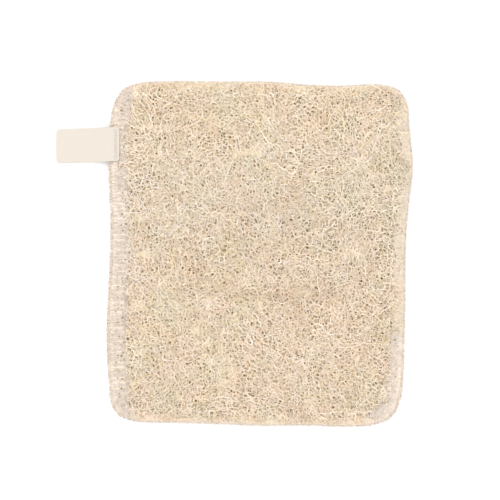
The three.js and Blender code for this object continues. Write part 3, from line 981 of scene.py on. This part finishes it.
def feltedCore(material):
    rng = np.random.default_rng(core["seed"])
    edge = rim[::3] + core["edgeIn"] * rimInward[::3]
    inner = hexPoints(core["spacing"], *core["halfSize"], rng)
    inner = inner[rimDistance.read(*inner.T) > core["clear"]]
    border = [(i, (i + 1) % len(edge)) for i in range(len(edge))]
    result = geometry.delaunay_2d_cdt([Vector(p) for p in np.vstack([edge, inner])], border, [], 1, 1e-6)
    flat = np.array([tuple(v) for v in result[0]])
    faces = [tuple(f) for f in result[2]]
    x, y = flat.T
    d = rimDistance.read(x, y)
    onEdge = d < core["edgeIn"] + 0.3
    shallow = np.clip((d - core["edgeIn"]) / core["deepWithin"], 0, 1)
    coarse, finer, patches = (
        softNoise(core[key], core["seed"] + k)(x, y) for key, k in (("coarse", 1), ("finer", 2), ("patch", 3))
    )
    rough = core["relief"] * (coarse + core["finerShare"] * finer)
    matted = smoothStep(*core["patchFrom"], patches)
    risen = core["patchRise"] * matted
    top = upperFace(x, y) - core["skin"] - (core["depth"] - core["skin"] - rough - risen) * shallow
    bottom = lowerFace(x, y) + core["skin"] + (core["depth"] - core["skin"] + rough) * shallow
    top[onEdge] = rimMiddle
    bottom = np.minimum(bottom, top - core["thinnest"])
    lower = np.where(onEdge, np.arange(len(flat)), len(flat) + np.arange(len(flat)))
    points = np.vstack([np.column_stack([x, y, top]), np.column_stack([x, y, bottom])])
    used, faces = usedPoints(faces + [tuple(lower[i] for i in reversed(f)) for f in faces])
    piece = meshObject("loofah_felted_core", points[used], faces=faces, matted=np.tile(matted, 2)[used])
    smoothShaded(piece, material)
    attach(piece, "root")
    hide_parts("loofah_pad")
    print(f"{piece.name}: {len(faces)} triangles")


# The overlock seam

seam = {
    "stitchLength": 2.4,
    "plies": 3,
    "plyRadius": 0.17,
    "pliesApart": 0.26,
    "flatness": 0.5,        # how far the plies spread upwards, as a share of sideways
    "twist": 5,             # length over which the plies turn round each other once
    "wander": 0.2,
    "slant": 1.3,           # how far the stitches lean to either side
    "uneven": 0.5,          # how unevenly they follow each other, as a share of the wander
    "loose": 0.4,           # and how unevenly they stand up
    "ragged": 0.45,         # how unevenly the stitches reach in
    "buried": 0.45,         # how deep the thread has sunk where fibres cover it
    "seed": 9,
}

# One stitch of each thread: how far along it, how far in from the edge as a share of the
# seam's width, a further distance in, and the height over the rim's face or, at the edge,
# over the middle of the rim.
looperStitch = [
    (0.00, 1, 0.1, 0.15), (0.07, 0.8, 0, 0.32), (0.14, 0.55, 0, 0.36), (0.19, 0.3, 0, 0.36),
    (0.23, 0.12, 0, 0.3), (0.28, 0, 0.1, -0.35), (0.4, 0, -0.12, -1.15), (0.6, 0, -0.12, -1.15),
    (0.72, 0, 0.1, -0.35), (0.77, 0.12, 0, 0.3), (0.81, 0.3, 0, 0.36), (0.86, 0.55, 0, 0.36),
    (0.93, 0.8, 0, 0.32),
]
needleStitch = [
    (0.0, 1, 0.05, -0.1), (0.12, 1, 0, 0.6), (0.35, 1, -0.2, 0.72), (0.65, 1, -0.2, 0.72),
    (0.88, 1, 0, 0.6),
]


# Places and inward directions at lengths along the rim
def alongRim(s):
    at = (np.asarray(s) / rimLength * len(rim)) % len(rim)
    i = np.floor(at).astype(int) % len(rim)
    f = (at - np.floor(at))[:, None]
    j = (i + 1) % len(rim)
    inward = rimInward[i] * (1 - f) + rimInward[j] * f
    return rim[i] * (1 - f) + rim[j] * f, inward / np.linalg.norm(inward, axis=1)[:, None]


# The closed path of one thread round the whole rim
def seamThread(stitch, facing, shift, rng):
    count = round(rimLength / seam["stitchLength"])
    pitch = rimLength / count
    wander = rng.normal(0, seam["wander"], (count, 4))
    run, share, extra, height = [], [], [], []
    for i in range(count):
        for along, inShare, inExtra, lift in stitch:
            lean = seam["slant"] * (inShare - 0.5) * wander[i, 3]
            run.append((i + shift + along + seam["uneven"] * wander[i, 0] + lean) * pitch)
            share.append(inShare)
            extra.append(inExtra + (inShare > 0.7) * seam["ragged"] * wander[i, 1] / seam["wander"])
            height.append(lift + seam["loose"] * wander[i, 2])
    place, inward = alongRim(run)
    inset = np.array(share) * seamReach(place, inward) + np.array(extra)
    flat = place + inward * inset[:, None]
    rimFace = padShape["rimHalf"] * rimWrap(np.maximum(inset, 0.45))
    buried = seam["buried"] * (1 - seamShows(*flat.T)) * (inset > 0.5) * (facing > 0)
    z = rimMiddle + facing * (rimFace + np.array(height) - buried)
    return np.column_stack([flat, z])


# A closed curve through the points, with points about a step apart
def smoothLoop(points, step):
    p0, p1, p2, p3 = (np.roll(points, k, axis=0) for k in (1, 0, -1, -2))
    count = max(1, round(np.linalg.norm(p2 - p1, axis=1).mean() / step))
    return smoothSpans(p0, p1, p2, p3, count).reshape(-1, 3)


# Paths of the plies that wind loosely round the thread's own path, spread flat
def plyPaths(path):
    ahead = np.roll(path, -1, axis=0) - np.roll(path, 1, axis=0)
    length = np.linalg.norm(np.roll(path, -1, axis=0) - path, axis=1)
    ahead /= np.linalg.norm(ahead, axis=1)[:, None]
    side = np.cross(ahead, [0, 0, 1.0])
    upright = np.linalg.norm(side, axis=1) < 0.3
    side[upright] = np.cross(ahead[upright], [1.0, 0, 0])
    side /= np.linalg.norm(side, axis=1)[:, None]
    over = np.cross(side, ahead)
    run = np.cumsum(length)
    turns = round(run[-1] / seam["twist"])
    paths = []
    for k in range(seam["plies"]):
        angle = 2 * np.pi * (turns * run / run[-1] + k / seam["plies"])
        spread = np.cos(angle)[:, None] * side + seam["flatness"] * np.sin(angle)[:, None] * over
        paths.append(path + seam["pliesApart"] * spread)
    return paths


def seamPiece(name, nodeName, path, step, sides, material):
    plies = plyPaths(smoothLoop(path, step))
    points = np.vstack(plies)
    edges = []
    for k, ply in enumerate(plies):
        ring = k * len(ply) + np.arange(len(ply))
        edges.append(np.stack([ring, np.roll(ring, -1)], axis=1))
    thickness = np.full(len(points), seam["plyRadius"] * mm)
    tone = seamTone(points[:, 0], points[:, 1])
    piece = meshObject(name, points, edges=np.vstack(edges), thickness=thickness, tone=tone)
    sweepTubes(piece, sides, material)
    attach(piece, "root")
    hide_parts(nodeName)
    return piece


def overlockSeam(material):
    rng = np.random.default_rng(seam["seed"])
    upper = seamThread(looperStitch, 1, 0, rng)
    lower = seamThread(looperStitch, -1, 0.5, rng)
    needle = seamThread(needleStitch, 1, 0, rng)
    seamPiece("upper_looper_thread", "overlock_upper_looper", upper, 1.6, 4, material)
    seamPiece("lower_looper_thread", "overlock_lower_looper", lower, 1.6, 3, material)
    seamPiece("needle_thread", "overlock_needle_thread", needle, 1.0, 3, material)


# Cotton lint that the stitches have shed along the bare parts of the seam
lint = {
    "count": 1500, "steps": 5, "step": 0.7, "bend": 0.35, "fan": 0.8, "sides": 3,
    "radius": 0.1, "height": 0.5, "wave": 0.15, "seed": 41,
    "from": 0.1,            # where it starts, as a share of the seam's width
    "edge": 0.3,            # how near the edge it comes, and how far past the seam it goes
    "past": 0.5,
    "bare": 0.6,            # how bare the seam has to lie
}


def seamLint(material):
    rng = np.random.default_rng(lint["seed"])
    count, steps = lint["count"], lint["steps"]
    place, inward = alongRim(rng.uniform(0, rimLength, count))
    at = place + inward * (seamReach(place, inward) * rng.uniform(lint["from"], 1, count))[:, None]
    heading = np.arctan2(inward[:, 1], inward[:, 0]) + rng.normal(0, lint["fan"], count)
    heights = rng.normal(lint["height"], lint["wave"], (count, steps))
    line = np.zeros((count, steps, 3))
    for k in range(steps):
        line[:, k] = np.column_stack([at, heights[:, k]])
        at = at + lint["step"] * np.column_stack([np.cos(heading), np.sin(heading)])
        heading = heading + rng.normal(0, lint["bend"], count)
    strand = np.repeat(np.arange(count), steps)
    x, y, height = line.reshape(-1, 3).T
    d = rimDistance.read(x, y)
    onSeam = (d > lint["edge"]) & (d < reachField.read(x, y) + lint["past"])
    mask = onSeam & (seamShows(x, y) > lint["bare"])
    points = np.column_stack([x, y, rimMiddle + padShape["rimHalf"] * rimWrap(d) + height])
    points, edges = keepInside(points, strand, mask)
    thickness = np.full(len(points), lint["radius"] * mm)
    tone = np.ones(len(points))
    piece = meshObject("seam_lint", points, edges=edges, thickness=thickness, tone=tone)
    sweepTubes(piece, lint["sides"], material)
    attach(piece, "root")
    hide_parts("overlock_upper_looper")


# The rim under and between the threads: rows of points round the pad, from the edge inwards
# over the upper face and back under it
mattedRim = {
    "spacing": 1.0,
    "rows": 10,
    "crowding": 0.8,        # below one, the rows lie closer towards the inside
    "edgeIn": 0.1,
    "lift": 0.12,           # how far it stands out of the rim between bare threads
    "outerRise": 0.1,       # and how much more in the outer part of them
    "outerPart": (0.3, 0.5),
    "pastSeam": 0.4,
    "narrow": 2.2,          # its width where fibres cover the seam
    "ragged": 1.2, "raggedSize": 4,
    "roughness": 0.12, "roughSize": 2.2,
    "tuckedIn": 0.5,        # how far its inner edge dips under the net
    "seed": 32,
}


def feltedRim(material):
    count = round(rimLength / mattedRim["spacing"])
    last, edgeIn = mattedRim["rows"] - 1, mattedRim["edgeIn"]
    place, inward = alongRim(np.arange(count) * rimLength / count)
    ragged = mattedRim["ragged"] * softNoise(mattedRim["raggedSize"], mattedRim["seed"])(*place.T)
    wide = seamReach(place, inward) + mattedRim["pastSeam"]
    inner = mattedRim["narrow"] + (wide - mattedRim["narrow"]) * seamShows(*place.T) + ragged
    shares = np.linspace(0, 1, mattedRim["rows"]) ** mattedRim["crowding"]
    insets = edgeIn + shares[:, None] * (inner - edgeIn)[None, :]
    roughness = softNoise(mattedRim["roughSize"], mattedRim["seed"] + 1)
    order = [*range(last + 1), *range(last, 0, -1)]
    rows = []
    for row, k in enumerate(order):
        facing = 1 if row <= last else -1
        flat = place + inward * insets[k][:, None]
        hidden = 1 - seamShows(*flat.T) if facing > 0 else 0
        lift = mattedRim["lift"] - mattedRim["lift"] * hidden
        outer = 1 - smoothStep(*mattedRim["outerPart"], shares[k])
        lift = lift + mattedRim["outerRise"] * outer * (1 - hidden)
        thickness = padShape["rimHalf"] + lift + mattedRim["roughness"] * roughness(*flat.T)
        z = rimMiddle + facing * rimWrap(insets[k] - edgeIn) * thickness
        if k == last:
            z = np.full(count, rimMiddle + facing * (padShape["rimHalf"] - mattedRim["tuckedIn"]))
        rows.append(np.column_stack([flat, z]))
    points = np.vstack(rows)
    faces = []
    for r in range(len(rows)):
        this, after = r * count, ((r + 1) % len(rows)) * count
        for i in range(count):
            j = (i + 1) % count
            faces.append((this + i, this + j, after + j, after + i))
    tone = seamTone(points[:, 0], points[:, 1])
    innerHalf = np.repeat(shares[order], count)
    piece = meshObject("loofah_matted_rim", points, faces=faces, tone=tone, innerHalf=innerHalf)
    smoothShaded(piece, material)
    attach(piece, "root")
    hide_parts("loofah_pad")
    print(f"{piece.name}: {2 * len(faces)} triangles")


# The label: a cotton tape folded in half, its two ends sewn over and under the rim
label = {
    "width": 16,
    "thickness": 0.4,
    "flatLength": 60.1,     # from end to end before it is folded
    "centre": (-82, 50.8),
    "tilt": 0.03,           # rise over run, from above
    "corner": 1.2,          # radius of its corners
    "selvedge": 24,         # the higher, the squarer its long edges
    "overRim": 2.08,        # from the rim's middle to the middle of each ply
    "perSpan": 6,
    "columns": 19,
    "ripple": 0.18,         # height of its soft waves where it is free
    "rippleSize": 9,
    "freeFrom": (-70, -76), "stillAtEnd": 6,
    "seed": 61,
    "seamX": -67.2,
    "stitches": 6,
    "stitchLength": 2.4,
}
tapeOver, tapeUnder = rimMiddle + label["overRim"], rimMiddle - label["overRim"]

# Its middle line from the side, from the upper end round the fold to the lower end
labelSection = [
    (-65.5, tapeOver - 0.08), (-68, tapeOver), (-70.6, tapeOver), (-74, 4.3), (-78, 2.9),
    (-84, 1.95), (-90, 1.45), (-94.1, 1.1), (-95.07, 0.75), (-94.1, 0.4), (-90, 0.7),
    (-84, 1.2), (-78, 1.75), (-74, 1.75), (-70.6, tapeUnder), (-65.5, tapeUnder),
]

# One stitch through the tape: how far along it, and the height over the tape's upper face
labelStitch = [(0.02, -0.5), (0.2, 0.14), (0.5, 0.2), (0.8, 0.14), (0.98, -0.5)]


def labelShift(x):
    return label["centre"][1] + label["tilt"] * (x - label["centre"][0])


def labelMiddleLine():
    line = np.array(labelSection)
    before, after = np.vstack([line[:1], line[:-1]]), np.vstack([line[1:], line[-1:]])
    beyond = np.vstack([line[2:], line[-1:], line[-1:]])
    curve = smoothSpans(before, line, after, beyond, label["perSpan"])
    return np.vstack([curve[:-1].reshape(-1, 2), line[-1:]])


# Share of the tape's half width that is left at a distance from a rounded end
def roundedWidth(fromEnd):
    short = np.clip(label["corner"] - fromEnd, 0, label["corner"])
    cut = label["corner"] - np.sqrt(label["corner"] ** 2 - short**2)
    return 1 - cut / (label["width"] / 2)


# Joins the two faces of a sheet along their shared long edges and closes its ends
def closedSheet(name, sides, run, material):
    rows, columns = sides[0].shape[:2]
    first = np.arange(rows * columns).reshape(rows, columns)
    second = first + rows * columns
    second[:, 0], second[:, -1] = first[:, 0], first[:, -1]
    faces = []
    for i in range(rows - 1):
        for j in range(columns - 1):
            faces.append((first[i, j], first[i, j + 1], first[i + 1, j + 1], first[i + 1, j]))
            faces.append((second[i, j], second[i + 1, j], second[i + 1, j + 1], second[i, j + 1]))
    for i, turned in ((0, False), (rows - 1, True)):
        for j in range(columns - 1):
            strip = [first[i, j], second[i, j], second[i, j + 1], first[i, j + 1]]
            strip = list(dict.fromkeys(int(v) for v in strip))
            faces.append(tuple(reversed(strip)) if turned else tuple(strip))
    points = np.vstack([side.reshape(-1, 3) for side in sides])
    used, faces = usedPoints(faces)
    piece = meshObject(name, points[used], faces=faces)
    flat = np.column_stack([points[used][:, 1], np.tile(np.repeat(run, columns), 2)[used]]) * mm
    unwrapped = piece.data.uv_layers.new(name="Weave")
    corners = np.array([v for face in faces for v in face])
    unwrapped.data.foreach_set("uv", flat[corners].ravel())
    smoothShaded(piece, material)
    return piece


def labelTape(material):
    line = labelMiddleLine()
    along = np.gradient(line, axis=0)
    along /= np.linalg.norm(along, axis=1)[:, None]
    outward = np.column_stack([along[:, 1], -along[:, 0]])
    run = np.concatenate([[0], np.cumsum(np.linalg.norm(np.diff(line, axis=0), axis=1))])
    print(f"label tape: {run[-1]:.1f} mm along its middle")
    fromEnd = np.minimum(line[:, 0].max() - line[:, 0], line[:, 0] - line[:, 0].min())
    width = label["width"] / 2 * roundedWidth(fromEnd)
    across = np.sin(np.linspace(-np.pi / 2, np.pi / 2, label["columns"]))
    ply = np.sqrt(np.clip(1 - np.abs(across) ** label["selvedge"], 0, 1))
    waves = softNoise(label["rippleSize"], label["seed"])
    sides = []
    for facing in (1, -1):
        half = facing * label["thickness"] / 2 * ply[None, :, None]
        section = line[:, None] + half * outward[:, None]
        x, z = section[:, :, 0], section[:, :, 1]
        y = labelShift(x) + width[:, None] * across[None, :]
        free = smoothStep(*label["freeFrom"], x) * smoothStep(0, label["stillAtEnd"], fromEnd)[:, None]
        sides.append(np.dstack([x, y, z + label["ripple"] * free * waves(x, y)]))
    return closedSheet("label_tape_sheet", sides, run, material)


# One closed path: out along the upper face from hole to hole, back along the lower
def labelStitchPath():
    x = label["seamX"]
    top = label["overRim"] + label["thickness"] / 2
    middle = labelShift(x)
    half = label["stitches"] / 2
    row = []
    for k in range(label["stitches"]):
        start = middle + (k - half) * label["stitchLength"]
        row += [(start + share * label["stitchLength"], top + height) for share, height in labelStitch]
    upper = [(x, y, rimMiddle + z) for y, z in row]
    lower = [(x, y, rimMiddle - z) for y, z in reversed(row)]
    return np.array(upper + lower)


def sewnLabel(tapeLook, stitchLook):
    tape = labelTape(tapeLook)
    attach(tape, "root")
    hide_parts("label_tape")
    stitches = seamPiece("label_stitches", "label_stitching", labelStitchPath(), 0.35, 5, stitchLook)


# Camera, light and floor

# What the picture shows, in millimetres: its width at the pad's middle height, and the camera's
# height over that
view = {"width": 233.3, "centre": (-4.55, 1.87), "height": 1400, "level": 5, "sensor": 36}

# In metres and watts
studio = {
    "floor": "#fafafa", "floorHalf": 6, "sky": "#ffffff", "skyStrength": 1.485,
    "lamps": {
        "Key": {"place": (-0.35, 0.45, 1.3), "size": 0.7, "power": 3.4},
        "Fill": {"place": (0.6, -0.5, 1.3), "size": 1.0, "power": 1.2},
    },
}


def makeCamera():
    lens = bpy.data.cameras.new("Camera")
    lens.sensor_width = view["sensor"]
    lens.lens = view["sensor"] * view["height"] / view["width"]
    lens.clip_end = 10
    camera = bpy.data.objects.new("Camera", lens)
    x, y = view["centre"]
    camera.location = (x * mm, y * mm, (view["height"] + view["level"]) * mm)
    bpy.context.collection.objects.link(camera)
    bpy.context.scene.camera = camera


def makeLamp(name, place, size, power):
    lamp = bpy.data.lights.new(name, "AREA")
    lamp.shape = "DISK"
    lamp.size = size
    lamp.energy = power
    made = bpy.data.objects.new(name, lamp)
    made.location = place
    made.rotation_euler = Vector(place).to_track_quat("Z", "Y").to_euler()
    bpy.context.collection.objects.link(made)


def makeStage():
    side = studio["floorHalf"]
    floorMesh = bpy.data.meshes.new("Floor")
    floorMesh.from_pydata(
        [(-side, -side, 0), (side, -side, 0), (side, side, 0), (-side, side, 0)], [], [(0, 1, 2, 3)]
    )
    floorMesh.materials.append(newMaterial("Pale studio floor", {
        "Base Color": colour(studio["floor"]), "Roughness": 0.9, "Specular IOR Level": 0,
    })[0])
    floor = bpy.data.objects.new("Floor", floorMesh)
    bpy.context.collection.objects.link(floor)
    world = bpy.data.worlds.new("Studio")
    world.use_nodes = True
    sky = world.node_tree.nodes["Background"]
    sky.inputs["Color"].default_value = colour(studio["sky"])
    sky.inputs["Strength"].default_value = studio["skyStrength"]
    bpy.context.scene.world = world
    for name, lamp in studio["lamps"].items():
        makeLamp(name, **lamp)
    bpy.context.scene.view_settings.view_transform = "Standard"


makeCamera()
makeStage()
print("Camera and studio ready")

fibreMaterials = {key: fibreMaterial(look) for key, look in fibreLooks.items()}
thread = threadMaterial()

feltedCore(feltMaterial())
for name, layer in upperLayers.items():
    fibreLayer(name, layer, fibreMaterials[layer["look"]])
for name, layer in looseLayers.items():
    looseFibres(name, layer, fibreMaterials[layer["look"]])
for name, layer in lowerLayers.items():
    fibreLayer(name, layer, fibreMaterials[layer["look"]])
print("Loofah ready")
feltedRim(rimMaterial())
overlockSeam(thread)
seamLint(thread)
sewnLabel(tapeMaterial(), thread)
print("Seam and label ready")
